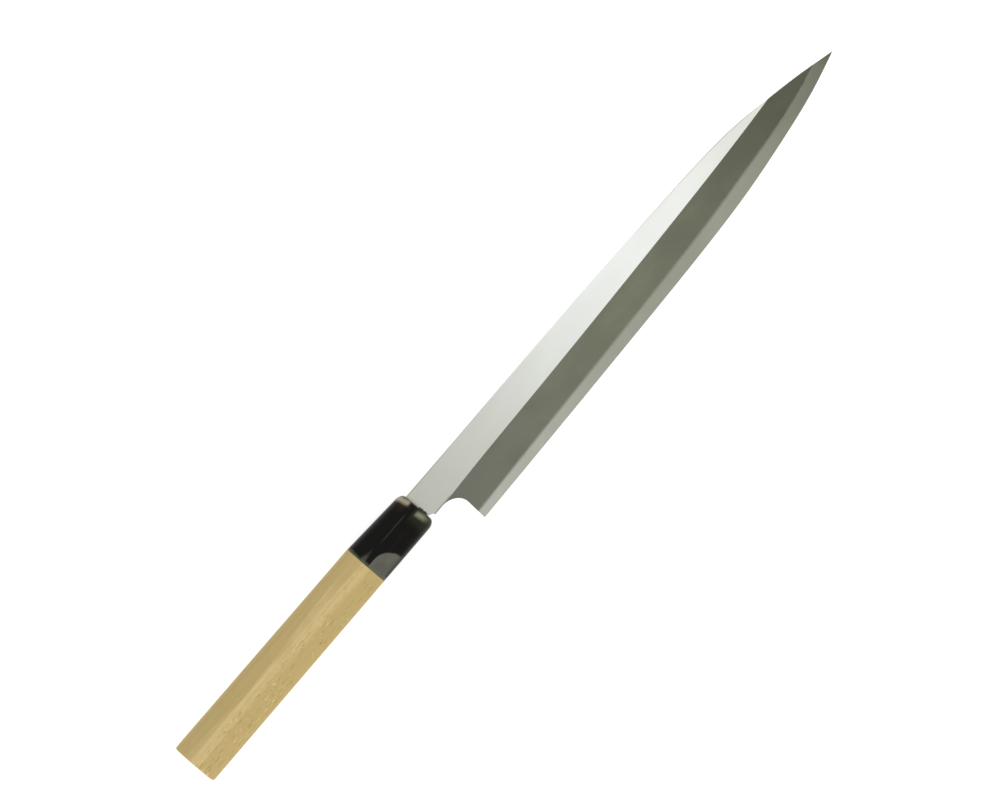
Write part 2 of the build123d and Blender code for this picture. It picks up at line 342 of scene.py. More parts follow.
@dataclass(frozen=True)
class Horn:
    """Polished black horn with a grey fin-shaped patch at the joint, a painted sheen and pale painted highlight
    crescents at the rolled front, and a painted highlight along the ridge.

    Grains are in features to a metre. Spans are soft steps in millimetres, measured as the comment beside each says.
    """

    joint_x: float
    front_x: float
    black: Colour = shade(7, 6, 4)
    brown: Colour = shade(24, 18, 12)
    grey: Colour = shade(100, 99, 87)
    # grey of the fin patch, also the colour of the painted highlight along the ridge
    ash: Colour = shade(90, 91, 81)
    # colours of the painted sheen on the rolled front, above and below the ridge
    rust: Colour = shade(40, 27, 18)
    moss: Colour = shade(42, 44, 27)
    green: Colour = shade(98, 103, 78)
    # colours of the painted highlight crescents on the rolled front, above and below the ridge
    cream: Colour = shade(166, 160, 132)
    mist: Colour = shade(134, 139, 114)
    cloud_grain: Grain = (90, 160, 160)
    streak_grain: Grain = (60, 700, 700)
    face_span: Span = (8.0, 10.0)  # along Z, from the back to the face with the ridge
    ridge_y: float = 8.3
    ridge_blur: float = 0.5
    fin_top_y: float = 6.0
    fin_reach: float = 8.2
    fin_power: float = 0.2
    fin_edge_span: Span = (-0.5, 0.6)  # from the fin's edge inwards
    fin_foot_span: Span = (-2.7, -1.2)  # along Y
    smear_y: float = 9.2
    smear_span: Span = (2.0, 8.0)  # from the joint
    smear_foot_span: Span = (7.9, 8.7)  # along Y
    rim_span: Span = (0.2, 1.7)  # from the joint
    sheen_span: Span = (3.0, 9.0)  # back from the front
    # painted sheen on the rolled front
    sheen_side_span: Span = (0.8, 3.0)  # from the ridge
    # painted highlight crescents on the rolled front
    lower_highlight_crescent: Span = (2.5, -0.1)  # back from the front at the ridge, and its change to a millimetre across
    upper_highlight_crescent: Span = (0.6, 0.26)
    highlight_crescent_width: float = 2.2
    # painted highlight along the ridge
    ridge_highlight_span: Span = (0.1, 0.35)  # from the ridge
    roughness: float = 0.16
    bump_depth: float = 0.01

    def material(self) -> bpy.types.Material:
        """The horn's material."""
        recipe = Recipe("black horn", 0.0, 0.1)
        x, y, z = recipe.parts()
        cloud = recipe.noise(recipe.along(*self.cloud_grain), 3.0, 0.5, 0.8)
        streaks = recipe.noise(recipe.along(*self.streak_grain), 3.0, 0.6, 0.3)
        wave = cloud - 0.5
        face = z.step(*self.face_span)
        colour = recipe.mix(streaks.step(0.5, 0.8), self.black, self.brown)
        colour = self.joint_marks(recipe, colour, (x, y), (cloud, wave), face)

        behind = (x - self.front_x) * -1.0
        across = (y - self.ridge_y).math("ABSOLUTE")
        upper = y.step(self.ridge_y - self.ridge_blur, self.ridge_y + self.ridge_blur)
        # Painted sheen on the rolled front beside the ridge, rust-brown above it and moss-green below.
        painted_sheen = (behind + wave * 4.0).step(*self.sheen_span).less_from(1.0) * across.step(*self.sheen_side_span)
        colour = recipe.mix(painted_sheen * face * 0.8, colour, recipe.mix(upper, self.moss, self.rust))
        # Painted highlight crescents on the rolled front, pale cream above the ridge and grey-green below.
        lower_centre, upper_centre = (
            across * change + start for start, change in (self.lower_highlight_crescent, self.upper_highlight_crescent)
        )
        centre = lower_centre.toward(upper_centre, upper)
        away = (behind - centre + wave * 1.4).math("ABSOLUTE")
        begun = (across.toward(across + 1.4, upper) + wave).step(2.2, 3.8)
        ended = (across.toward(across * 0.6, upper) + wave * 2.0).step(5.5, 10.5).less_from(1.0)
        painted_highlight = away.step(0.0, self.highlight_crescent_width).less_from(1.0) * begun * ended
        strength = painted_highlight * (cloud.step(0.2, 0.55) * 0.35 + 0.65)
        colour = recipe.mix(strength * face, colour, recipe.mix(upper, self.mist, self.cream))
        # Painted highlight along the ridge, on the ferrule's middle stretch.
        line = across.step(*self.ridge_highlight_span).less_from(1.0) * behind.step(4.0, 8.0)
        line = line * (x - self.joint_x).step(10.0, 14.0) * face
        colour = recipe.mix(line * streaks * 0.5, colour, self.ash)
        height = streaks * 0.7 + cloud * 0.3
        return recipe.finish(colour, streaks * 0.08 + self.roughness, height, self.bump_depth)

    def joint_marks(
        self, recipe: Recipe, colour: Field, place: tuple[Field, Field], clouds: tuple[Field, Field], face: Field
    ) -> Field:
        """Adds the marks beside the joint.

        Args:
            recipe: the material's recipe.
            colour: the horn's colour without them.
            place: the place along X and Y.
            clouds: the cloudy noise, from 0 to 1 and about zero.
            face: 1 on the face with the ridge, 0 on the back.

        Returns:
            The colour with the fin, the smear beside the ridge and the green rim.
        """
        (x, y), (cloud, wave) = place, clouds
        in_joint = x - self.joint_x
        below = (y * -1.0 + self.fin_top_y + wave * 0.8).math("MAXIMUM", 0.0)
        reach = below.math("POWER", self.fin_power) * self.fin_reach + wave * 1.6
        fin = (reach - in_joint).step(*self.fin_edge_span) * y.step(*self.fin_foot_span) * face
        colour = recipe.mix(fin, colour, recipe.mix(cloud.step(0.4, 0.62), self.ash, self.grey))
        beside = (y - self.smear_y).math("ABSOLUTE")
        smear = (in_joint + wave * 5.0 + beside * 2.6).step(*self.smear_span).less_from(1.0)
        smear = smear * y.step(*self.smear_foot_span) * face
        colour = recipe.mix(smear * 0.5, colour, self.grey)
        rim = (in_joint + wave * 3.4).step(*self.rim_span).less_from(1.0)
        return recipe.mix(rim * 0.75, colour, self.green)


@dataclass(frozen=True)
class Metal:
    """A ground or polished metal: fine parallel scratches over a soft haze. Its colour from heel to tip is painted
    reflection, brightening and dimming along the blade as the lamps' reflection in a polished face does. Towards the
    point it is dimmed further.

    The scratches' fineness is in scratches to a metre across them, and their turn is in degrees from the blade's
    length. Spans are soft steps in millimetres along X, or along Y where their name says side. Near the weld the colour
    drifts cloudily towards the other metal's. At the root, which is where the neck comes out of the ferrule, there is
    painted shade beside the ferrule's slot, and the neck's lower edge is darkened by painted shade.
    """

    name: str
    # colours at the heel, middle and tip, which with their spans paint the reflection's change along the blade
    heel: Colour
    middle: Colour
    tip: Colour
    heel_span: Span
    tip_span: Span
    contrast: float
    roughness: float
    scratch_turn: float
    scratches: float
    scratch_depth: float
    haze: float
    weld_colour: Colour | None = None
    weld_reach: float = 0.0
    root: Span | None = None
    # painted shade at the neck's root beside the ferrule's slot
    residue: Colour = shade(28, 27, 20)
    root_shade_side_span: Span = (5.6, 6.6)
    # painted shade along the neck's lower edge
    neck_end_span: Span = (-45.5, -43.5)
    neck_edge_shading: float = 0.4
    point_span: Span = (188.0, 197.8)
    point_dimming: float = 0.3

    def material(self, weld: Sequence[tuple[float, float]]) -> bpy.types.Material:
        """The metal's material.

        Args:
            weld: points of the weld's line in plan, in millimetres.

        Returns:
            The material.
        """
        recipe = Recipe(self.name, 1.0)
        fine = recipe.noise(recipe.along(22, self.scratches, self.scratches, self.scratch_turn), 3.0, 0.6)
        wide = recipe.noise(recipe.along(9, self.scratches / 4, self.scratches / 4, self.scratch_turn), 2.0, 0.5)
        haze = recipe.noise(recipe.along(35, 60, 60), 3.0, 0.5, 0.5)
        share = (haze.step(0.25, 0.75) * self.haze + wide * 0.25 + fine * 0.25 + (0.25 - self.haze / 2)).held()
        x, y, _ = recipe.parts()
        # Painted reflection: the colour brightens and dims along the blade, from the heel's to the middle's and the
        # tip's.
        colour = recipe.mix(x.step(*self.heel_span), self.heel, self.middle)
        colour = recipe.mix(x.step(*self.tip_span), colour, self.tip)
        colour = recipe.dimmed(colour, x.step(*self.point_span) * -self.point_dimming + 1.0)
        colour = recipe.dimmed(colour, (share - 0.5) * -self.contrast + 1.0)
        if self.weld_colour is not None:
            cloud = recipe.noise(recipe.along(500, 700, 700), 3.0, 0.6) - 0.5
            away = recipe.over_line(weld).math("ABSOLUTE") + cloud * self.weld_reach
            colour = recipe.mix(away.step(0.0, self.weld_reach).less_from(1.0) * 0.55, colour, self.weld_colour)
        if self.root is not None:
            # Painted shade beside the ferrule's slot where the neck comes out, stronger on the neck's lower half.
            cloud = recipe.noise(recipe.along(900, 900, 900), 3.0, 0.6) - 0.5
            painted_root_shade = (x - self.root[0] + cloud * 1.6).step(0.2, 1.1).less_from(1.0) * (y + cloud).step(1.0, 2.0)
            painted_root_shade = painted_root_shade * ((y + cloud * 2.0).step(*self.root_shade_side_span).less_from(1.0) * 0.75 + 0.2)
            colour = recipe.mix(painted_root_shade, colour, self.residue)
            # Painted shade along the neck's lower edge.
            edge = (y - self.root[1] + cloud * 0.4).step(0.3, 0.9).less_from(1.0)
            edge = edge * x.step(*self.neck_end_span).less_from(1.0)
            colour = recipe.dimmed(colour, edge * -self.neck_edge_shading + 1.0)
        roughness = fine * 0.1 + haze * 0.08 + (self.roughness - 0.09)
        return recipe.finish(colour, roughness, fine * 0.6 + wide * 0.4, self.scratch_depth)


class Finish(Enum):
    """The finishes of the blade's faces."""

    FLAT_SIDE = Metal(
        name="polished iron",
        heel=shade(186, 188, 178),
        middle=shade(237, 239, 235),
        tip=shade(222, 223, 215),
        heel_span=(-62.0, 85.0),
        tip_span=(95.0, 165.0),
        contrast=0.12,
        roughness=0.30,
        scratch_turn=0.0,
        scratches=3000,
        scratch_depth=0.004,
        haze=0.5,
        root=(-57.0, -1.05),
    )
    HAZE = Metal(
        name="hazed iron",
        heel=shade(107, 109, 98),
        middle=shade(117, 119, 103),
        tip=shade(88, 91, 76),
        heel_span=(-45.0, 60.0),
        tip_span=(60.0, 185.0),
        contrast=0.24,
        roughness=0.50,
        scratch_turn=82.0,
        scratches=4200,
        scratch_depth=0.010,
        haze=0.7,
        weld_colour=shade(146, 148, 134),
        weld_reach=0.8,
    )
    SPINE = Metal(
        name="satin iron",
        heel=shade(150, 152, 142),
        middle=shade(216, 218, 212),
        tip=shade(178, 179, 172),
        heel_span=(-62.0, 30.0),
        tip_span=(80.0, 140.0),
        contrast=0.30,
        roughness=0.42,
        scratch_turn=0.0,
        scratches=2500,
        scratch_depth=0.006,
        haze=0.5,
    )
    SCALE = Metal(
        name="forge scale",
        heel=shade(58, 53, 49),
        middle=shade(62, 57, 53),
        tip=shade(58, 53, 49),
        heel_span=(-150.0, -60.0),
        tip_span=(0.0, 200.0),
        contrast=0.5,
        roughness=0.65,
        scratch_turn=0.0,
        scratches=800,
        scratch_depth=0.03,
        haze=0.8,
    )
    BAND = Metal(
        name="ground edge steel",
        heel=shade(174, 176, 165),
        middle=shade(152, 154, 140),
        tip=shade(114, 115, 100),
        heel_span=(-45.0, 95.0),
        tip_span=(110.0, 205.0),
        contrast=0.18,
        roughness=0.33,
        scratch_turn=82.0,
        scratches=5200,
        scratch_depth=0.004,
        haze=0.5,
        weld_colour=shade(124, 126, 112),
        weld_reach=0.8,
    )
    RIM = Metal(
        name="polished rim",
        heel=shade(206, 208, 202),
        middle=shade(212, 214, 208),
        tip=shade(200, 202, 195),
        heel_span=(-60.0, 60.0),
        tip_span=(60.0, 190.0),
        contrast=0.12,
        roughness=0.26,
        scratch_turn=4.0,
        scratches=3600,
        scratch_depth=0.003,
        haze=0.4,
    )
    HOLLOW = Metal(
        name="ground hollow",
        heel=shade(164, 166, 158),
        middle=shade(172, 174, 166),
        tip=shade(160, 162, 153),
        heel_span=(-60.0, 60.0),
        tip_span=(60.0, 190.0),
        contrast=0.25,
        roughness=0.36,
        scratch_turn=90.0,
        scratches=2600,
        scratch_depth=0.01,
        haze=0.6,
    )


@dataclass(frozen=True)
class GripForm:
    """Sizes of a stretch of the grip's five-sided tube, in millimetres and degrees.

    Its two ends may be rolled over, by a roll that the given reach along X takes.
    """

    start_x: float
    end_x: float
    start_middle: float
    end_middle: float
    start_height: float
    end_height: float
    start_thickness: float
    end_thickness: float
    start_ridge_rise: float
    end_ridge_rise: float
    start_ridge_round: float
    end_ridge_round: float
    start_reach: float
    start_roll: float
    end_reach: float
    end_roll: float
    axis_z: float = 9.0
    back_round: float = 7.0
    flank_round: float = 6.0
    spine_flank_slope: float = 28.0
    edge_flank_slope: float = 18.0
    start_rings: int = 8
    body_rings: int = 40
    end_rings: int = 16
    arc_points: int = 24


class GripTree:
    """A Geometry Nodes tree that makes a grip's tube from its sizes: rings of a five-sided, round-cornered section."""

    def __init__(self) -> None:
        """Builds the tree, with an input for each size and one for the material."""
        self.tree = bpy.data.node_groups.new("grip tube", "GeometryNodeTree")
        self.tree.interface.new_socket("Geometry", in_out="OUTPUT", socket_type="NodeSocketGeometry")
        self.inputs: dict[str, str] = {}
        for size in fields(GripForm):
            kind = "NodeSocketInt" if size.type is int else "NodeSocketFloat"
            self.add_input(size.name, kind)
        self.add_input("material", "NodeSocketMaterial")
        self.given = self.tree.nodes.new("NodeGroupInput")
        self.build()

    def add_input(self, name: str, kind: str) -> None:
        """Adds an input named in plain words and notes its identifier."""
        made = self.tree.interface.new_socket(name.replace("_", " ").capitalize(), in_out="INPUT", socket_type=kind)
        self.inputs[name] = made.identifier

    def size(self, name: str) -> Field:
        """The input that holds a size."""
        return Field(self.tree, self.given.outputs[name.replace("_", " ").capitalize()])

    def between(self, name: str, share: Field) -> Field:
        """A size a share of the way from the tube's start to its end."""
        return self.size("start_" + name).toward(self.size("end_" + name), share)

    def choose(self, corner: Field, values: Sequence[Number]) -> Field:
        """The value that belongs to a corner, of five."""
        node = self.tree.nodes.new("GeometryNodeIndexSwitch")
        node.data_type = "FLOAT"
        while len(node.index_switch_items) < len(values):
            node.index_switch_items.new()
        plug(corner, node.inputs[0])
        for value, place in zip(values, node.inputs[1:]):
            plug(value, place)
        return Field(self.tree, node.outputs[0])

    def constant(self, value: float) -> Field:
        """A plain number as a field."""
        node = self.tree.nodes.new("ShaderNodeValue")
        node.outputs[0].default_value = value
        return Field(self.tree, node.outputs[0])

    def build(self) -> None:
        """Lays the nodes: a grid of rings, the rule of the section, the closed seam and the material."""
        index = Field(self.tree, self.tree.nodes.new("GeometryNodeInputIndex").outputs[0])
        around = self.size("arc_points") * 5.0
        ring = (index / (around + 1.0)).math("FLOOR")
        place = (index - ring * (around + 1.0)).math("FLOORED_MODULO", around)
        corner = (place / self.size("arc_points")).math("FLOOR")
        share = (place - corner * self.size("arc_points")) / (self.size("arc_points") - 1.0)
        start_turn = (ring / self.size("start_rings")).held().less_from(1.0) * 90.0
        after = ring - self.size("start_rings")
        body = (after / self.size("body_rings")).held()
        end_turn = ((after - self.size("body_rings")) / self.size("end_rings")).held() * 90.0
        first = self.size("start_x") + self.size("start_reach")
        last = self.size("end_x") - self.size("end_reach")
        x = first - self.size("start_reach") * start_turn.sine() + (last - first) * body
        x = x + self.size("end_reach") * end_turn.sine()
        roll = self.size("start_roll") * start_turn.cosine().less_from(1.0)
        roll = roll + self.size("end_roll") * end_turn.cosine().less_from(1.0)
        taper = ((x - self.size("start_x")) / (last - self.size("start_x"))).held()

        middle = self.between("middle", taper)
        half_height = self.between("height", taper) * 0.5 - roll
        half_thickness = self.between("thickness", taper) * 0.5 - roll
        high = middle + half_height
        low = middle - half_height
        top = self.size("axis_z") + half_thickness
        bottom = self.size("axis_z") - half_thickness
        ridge = middle + self.between("ridge_rise", taper)
        spine_slope, edge_slope = self.size("spine_flank_slope"), self.size("edge_flank_slope")
        spine_corner = top - (high - ridge) * spine_slope.math("RADIANS").math("TANGENT")
        edge_corner = top - (ridge - low) * edge_slope.math("RADIANS").math("TANGENT")
        flank = self.size("flank_round") - roll
        back = self.size("back_round") - roll
        corner_y = self.choose(corner, (high, ridge, low, low, high))
        corner_z = self.choose(corner, (spine_corner, top, edge_corner, bottom, bottom))
        corner_round = self.choose(corner, (flank, self.between("ridge_round", taper), flank, back, back))
        turns = (self.constant(0.0), spine_slope.less_from(90.0), edge_slope + 90.0) + tuple(
            self.constant(turn) for turn in (180.0, 270.0, 360.0)
        )
        turn_from = self.choose(corner, turns[:5])
        turn_to = self.choose(corner, turns[1:])
        turn = turn_from.toward(turn_to, share)
        lean = (turn_to - turn_from).cosine() + 1.0
        y = corner_y + corner_round * (turn.cosine() - (turn_from.cosine() + turn_to.cosine()) / lean)
        z = corner_z + corner_round * (turn.sine() - (turn_from.sine() + turn_to.sine()) / lean)

        grid = self.tree.nodes.new("GeometryNodeMeshGrid")
        rings = self.size("start_rings") + self.size("body_rings") + self.size("end_rings") + 1.0
        plug(rings, grid.inputs["Vertices X"])
        plug(around + 1.0, grid.inputs["Vertices Y"])
        spot = self.tree.nodes.new("ShaderNodeCombineXYZ")
        for value, target in zip((x, y, z), spot.inputs):
            plug(value * MM, target)
        chain = (
            ("GeometryNodeSetPosition", {}),
            ("GeometryNodeMergeByDistance", {"Distance": SAME_PLACE * MM}),
            ("GeometryNodeRealizeInstances", {}),
            ("GeometryNodeSetMaterial", {}),
        )
        shape = Field(self.tree, grid.outputs["Mesh"])
        for kind, settings in chain:
            node = self.tree.nodes.new(kind)
            plug(shape, node.inputs["Geometry"])
            for name, value in settings.items():
                node.inputs[name].default_value = value
            if kind == "GeometryNodeSetPosition":
                plug(Field(self.tree, spot.outputs[0]), node.inputs["Position"])
            if kind == "GeometryNodeSetMaterial":
                plug(self.size("material"), node.inputs["Material"])
            shape = Field(self.tree, node.outputs["Geometry"])
        plug(shape, self.tree.nodes.new("NodeGroupOutput").inputs[0])

    def tube(self, form: GripForm, material: bpy.types.Material) -> bpy.types.Mesh:
        """Makes a plain mesh of a tube.

        Args:
            form: the tube's sizes.
            material: the material of all its faces.

        Returns:
            The mesh, open at both ends.
        """
        carrier = bpy.data.objects.new("tube", bpy.data.meshes.new("tube"))
        bpy.context.scene.collection.objects.link(carrier)
        modifier = carrier.modifiers.new("tube", "NODES")
        modifier.node_group = self.tree
        for size in fields(form):
            modifier[self.inputs[size.name]] = getattr(form, size.name)
        modifier[self.inputs["material"]] = material
        view = bpy.context.evaluated_depsgraph_get()
        made = bpy.data.meshes.new_from_object(carrier.evaluated_get(view))
        carrier.modifiers.clear()
        bpy.data.objects.remove(carrier)
        return made


class Shell:
    """A closed skin that grows from a tube by rings and flat faces, in metres."""

    def __init__(self, tube: bpy.types.Mesh) -> None:
        """Starts from a tube that is open at both ends."""
        self.bm = bmesh.new()
        self.bm.from_mesh(tube)

    def end(self, x: float) -> list[bmesh.types.BMVert]:
        """The ring of open vertices at a place along X, in millimetres, in order."""
        slack = 10 * SAME_PLACE * MM
        loose = [e for e in self.bm.edges if e.is_boundary and all(abs(v.co.x - x * MM) < slack for v in e.verts)]
        step = {}
        for edge in loose:
            a, b = edge.verts
            step.setdefault(a, []).append(b)
            step.setdefault(b, []).append(a)
        ring = [loose[0].verts[0]]
        before = None
        while len(ring) < len(loose):
            following = next(v for v in step[ring[-1]] if v is not before)
            before = ring[-1]
            ring.append(following)
        return ring

    def ring(self, points: Sequence[Point]) -> list[bmesh.types.BMVert]:
        """A new ring of vertices through points, in millimetres."""
        return [self.bm.verts.new(Vector(point) * MM) for point in points]

    def bridge(self, first: Sequence[bmesh.types.BMVert], second: Sequence[bmesh.types.BMVert]) -> None:
        """A wall between two rings of the same count."""
        for i in range(len(first)):
            j = (i + 1) % len(first)
            self.bm.faces.new((first[i], first[j], second[j], second[i]))

    def flat(self, x_sign: float, *rings: Sequence[bmesh.types.BMVert]) -> None:
        """A flat face between an outer ring and the rings of its holes, which looks along X."""
        edges = []
        for ring in rings:
            for a, b in zip(ring, [*ring[1:], ring[0]]):
                edges.append(self.bm.edges.get((a, b)) or self.bm.edges.new((a, b)))
        bmesh.ops.triangle_fill(self.bm, edges=edges, use_beauty=True, normal=Vector((x_sign, 0, 0)))

    def piece(self, name: str, materials: Sequence[bpy.types.Material]) -> bpy.types.Object:
        """Turns the skin into an object with outward faces and crisp corners.

        Args:
            name: the piece's name.
            materials: the piece's materials, in the order of its faces' numbers.

        Returns:
            The finished object.
        """
        bmesh.ops.remove_doubles(self.bm, verts=self.bm.verts, dist=SAME_PLACE * MM)
        bmesh.ops.recalc_face_normals(self.bm, faces=self.bm.faces)
        mesh = bpy.data.meshes.new(name)
        self.bm.to_mesh(mesh)
        self.bm.free()
        for face in mesh.polygons:
            face.use_smooth = True
        mesh.set_sharp_from_angle(angle=math.radians(SHARP_ANGLE))
        mesh.materials.clear()
        for material in materials:
            mesh.materials.append(material)
        made = bpy.data.objects.new(name, mesh)
        bpy.context.scene.collection.objects.link(made)
        smooth = made.modifiers.new("even shading", "WEIGHTED_NORMAL")
        smooth.weight = WEIGHT_OF_LARGE_FACES
        smooth.keep_sharp = True
        return made


def stand_in(piece: bpy.types.Object, node: str) -> None:
    """Lets a piece stand for a CAD node, on the knife's one body, and reports it."""
    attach(piece, "root")
    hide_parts(node)
    log.info("%s: %d faces, stands for %s", piece.name, len(piece.data.polygons), node)


def rectangle(x: float, middle_y: float, middle_z: float, height: float, thickness: float) -> list[Point]:
    """The corners of an upright rectangle across the knife."""
    return [
        (x, middle_y + a * height / 2, middle_z + b * thickness / 2) for a, b in ((1, 1), (-1, 1), (-1, -1), (1, -1))
    ]


def oval(x: float, middle_y: float, middle_z: float, height: float, thickness: float, count: int) -> list[Point]:
    """Points round an upright oval across the knife."""
    turns = [2 * math.pi * i / count for i in range(count)]
    return [(x, middle_y + math.cos(t) * height / 2, middle_z + math.sin(t) * thickness / 2) for t in turns]


@dataclass(frozen=True)
class Grip:
    """The wooden handle and the horn ferrule, in millimetres."""

    butt_x: float = -197.8
    joint_x: float = -89.2
    front_x: float = -57.0
    wall_x: float = -64.9
    tenon_end_x: float = -65.2
    hole_end_x: float = -155.0
    axis_y: float = 7.0
    axis_z: float = 9.0
    front_drop: float = 0.75
    butt_height: float = 20.8
    butt_thickness: float = 18.0
    joint_height: float = 20.2
    joint_thickness: float = 17.5
    front_height: float = 18.6
    front_thickness: float = 16.8
    butt_ridge_rise: float = 2.4
    joint_ridge_rise: float = 1.8
    front_ridge_rise: float = 2.0
    butt_ridge_round: float = 2.2
    joint_ridge_round: float = 0.9
    front_ridge_round: float = 0.6
    butt_round: float = 0.9
    nose_reach: float = 4.0
    nose_roll: float = 2.5
    ferrule_wall: float = 2.6
    glue_gap: float = 0.1
    slot_middle: float = 6.921
    slot_height: float = 12.558
    slot_width: float = 4.6
    hole_height: float = 12.33
    hole_width: float = 4.5
    hole_end_height: float = 5.89
    hole_end_width: float = 3.05
    oval_points: int = 96

    def handle(self, tree: GripTree) -> bpy.types.Object:
        """The wooden handle, with its tenon and the hole for the tang.

        Args:
            tree: the tree that makes tubes.

        Returns:
            The handle's object.
        """
        wood = Wood().material()
        form = GripForm(
            start_x=self.butt_x,
            end_x=self.joint_x,
            start_middle=self.axis_y,
            end_middle=self.axis_y,
            start_height=self.butt_height,
            end_height=self.joint_height,
            start_thickness=self.butt_thickness,
            end_thickness=self.joint_thickness,
            start_ridge_rise=self.butt_ridge_rise,
            end_ridge_rise=self.joint_ridge_rise,
            start_ridge_round=self.butt_ridge_round,
            end_ridge_round=self.joint_ridge_round,
            start_reach=self.butt_round,
            start_roll=self.butt_round,
            end_reach=0.0,
            end_roll=0.0,
            body_rings=60,
            end_rings=0,
        )
        shell = Shell(tree.tube(form, wood))
        shell.flat(-1, shell.end(self.butt_x))
        base, end = (shell.ring(self.tenon(x, 0.0)) for x in (self.joint_x, self.tenon_end_x))
        shell.flat(1, shell.end(self.joint_x), base)
        shell.bridge(base, end)
        mouth = shell.ring(rectangle(self.tenon_end_x, self.axis_y, self.axis_z, self.hole_height, self.hole_width))
        bottom = shell.ring(
            rectangle(self.hole_end_x, self.axis_y, self.axis_z, self.hole_end_height, self.hole_end_width)
        )
        shell.flat(1, end, mouth)
        shell.bridge(mouth, bottom)
        shell.flat(1, bottom)
        return shell.piece("wooden_handle", (wood,))

    def ferrule(self, tree: GripTree) -> bpy.types.Object:
        """The horn ferrule, with its bore for the tenon and its slot for the neck.

        Args:
            tree: the tree that makes tubes.

        Returns:
            The ferrule's object.
        """
        horn = Horn(self.joint_x, self.front_x).material()
        form = GripForm(
            start_x=self.joint_x,
            end_x=self.front_x,
            start_middle=self.axis_y,
            end_middle=self.axis_y - self.front_drop,
            start_height=self.joint_height,
            end_height=self.front_height,
            start_thickness=self.joint_thickness,
            end_thickness=self.front_thickness,
            start_ridge_rise=self.joint_ridge_rise,
            end_ridge_rise=self.front_ridge_rise,
            start_ridge_round=self.joint_ridge_round,
            end_ridge_round=self.front_ridge_round,
            start_reach=0.0,
            start_roll=0.0,
            end_reach=self.nose_reach,
            end_roll=self.nose_roll,
            start_rings=0,
        )
        shell = Shell(tree.tube(form, horn))
        front, rear = shell.end(self.front_x), shell.end(self.joint_x)
        mouth, inner = (
            shell.ring(rectangle(x, self.slot_middle, self.axis_z, self.slot_height, self.slot_width))
            for x in (self.front_x, self.wall_x)
        )
        shell.flat(1, front, mouth)
        shell.bridge(mouth, inner)
        bore, base = (shell.ring(self.tenon(x, self.glue_gap)) for x in (self.wall_x, self.joint_x))
        shell.flat(-1, bore, inner)
        shell.bridge(bore, base)
        shell.flat(-1, rear, base)
        return shell.piece("horn_ferrule", (horn,))

    def tenon(self, x: float, gap: float) -> list[Point]:
        """The oval of the tenon at a place along X, or of the bore around it with a gap."""
        height = self.joint_height - 2 * (self.ferrule_wall - gap)
        thickness = self.joint_thickness - 2 * (self.ferrule_wall - gap)
        return oval(x, self.axis_y, self.axis_z, height, thickness, self.oval_points)


@dataclass(frozen=True)
class Curve:
    """A smooth line through points: its place across the knife for a place along it."""

    xs: np.ndarray
    ys: np.ndarray
    slopes: np.ndarray

    @classmethod
    def through(
        cls, xs: Sequence[float], ys: Sequence[float], start: float | None = None, end: float | None = None
    ) -> "Curve":
        """Fits the smooth line.

        Args:
            xs: places along the knife.
            ys: places across it.
            start: the slope at the start, or None to leave it free.
            end: the slope at the end, or None to leave it free.

        Returns:
            The line.
        """
        x, y = np.asarray(xs, float), np.asarray(ys, float)
        gaps, rises = np.diff(x), np.diff(y)
        count = len(x)
        matrix, right = np.zeros((count, count)), np.zeros(count)
        for i in range(1, count - 1):
            matrix[i, i - 1 : i + 2] = 1 / gaps[i - 1], 2 / gaps[i - 1] + 2 / gaps[i], 1 / gaps[i]
            right[i] = 3 * (rises[i - 1] / gaps[i - 1] ** 2 + rises[i] / gaps[i] ** 2)
        for row, other, gap, given in ((0, 1, 0, start), (count - 1, count - 2, -1, end)):
            matrix[row, row] = 2.0 if given is None else 1.0
            matrix[row, other] = 1.0 if given is None else 0.0
            right[row] = 3 * rises[gap] / gaps[gap] if given is None else given
        return cls(x, y, np.linalg.solve(matrix, right))

    def __call__(self, at: np.ndarray) -> np.ndarray:
        """The places across for places along."""
        at = np.asarray(at, float)
        i = np.clip(np.searchsorted(self.xs, at) - 1, 0, len(self.xs) - 2)
        gap = self.xs[i + 1] - self.xs[i]
        t = (at - self.xs[i]) / gap
        low, high = self.ys[i], self.ys[i + 1]
        rise = high - low
        a = self.slopes[i] * gap - rise
        b = rise - self.slopes[i + 1] * gap
        inside = (1 - t) * low + t * high + t * (1 - t) * ((1 - t) * a + t * b)
        before = self.ys[0] + self.slopes[0] * (at - self.xs[0])
        after = self.ys[-1] + self.slopes[-1] * (at - self.xs[-1])
        return np.where(t < 0, before, np.where(t > 1, after, inside))


class Zone(Enum):
    """The zones that the blade's plan is cut into. A line between two of them is crisp."""

    FLAT = 0
    BEVEL = 1
    BAND = 2


@dataclass
class Skin:
    """Vertices and faces of a blade piece, with the finish of each face and the normals that its curves call for."""

    points: list[Point]
    faces: list[tuple[int, ...]]
    finishes: list[Finish]
    normals: list[tuple[Point, ...]]

    def piece(
        self, name: str, finishes: Sequence[Finish], materials: dict[Finish, bpy.types.Material]
    ) -> bpy.types.Object:
        """Turns the skin into an object.

        Args:
            name: the piece's name.
            finishes: the finishes that the piece uses.
            materials: the material of each finish.

        Returns:
            The finished object.
        """
        mesh = bpy.data.meshes.new(name)
        mesh.from_pydata([[c * MM for c in point] for point in self.points], [], self.faces)
        for finish in finishes:
            mesh.materials.append(materials[finish])
        for face, finish in zip(mesh.polygons, self.finishes):
            face.material_index = finishes.index(finish)
            face.use_smooth = True
        mesh.normals_split_custom_set([corner for face in self.normals for corner in face])
        made = bpy.data.objects.new(name, mesh)
        bpy.context.scene.collection.objects.link(made)
        return made


Height = Callable[[np.ndarray, np.ndarray], np.ndarray]


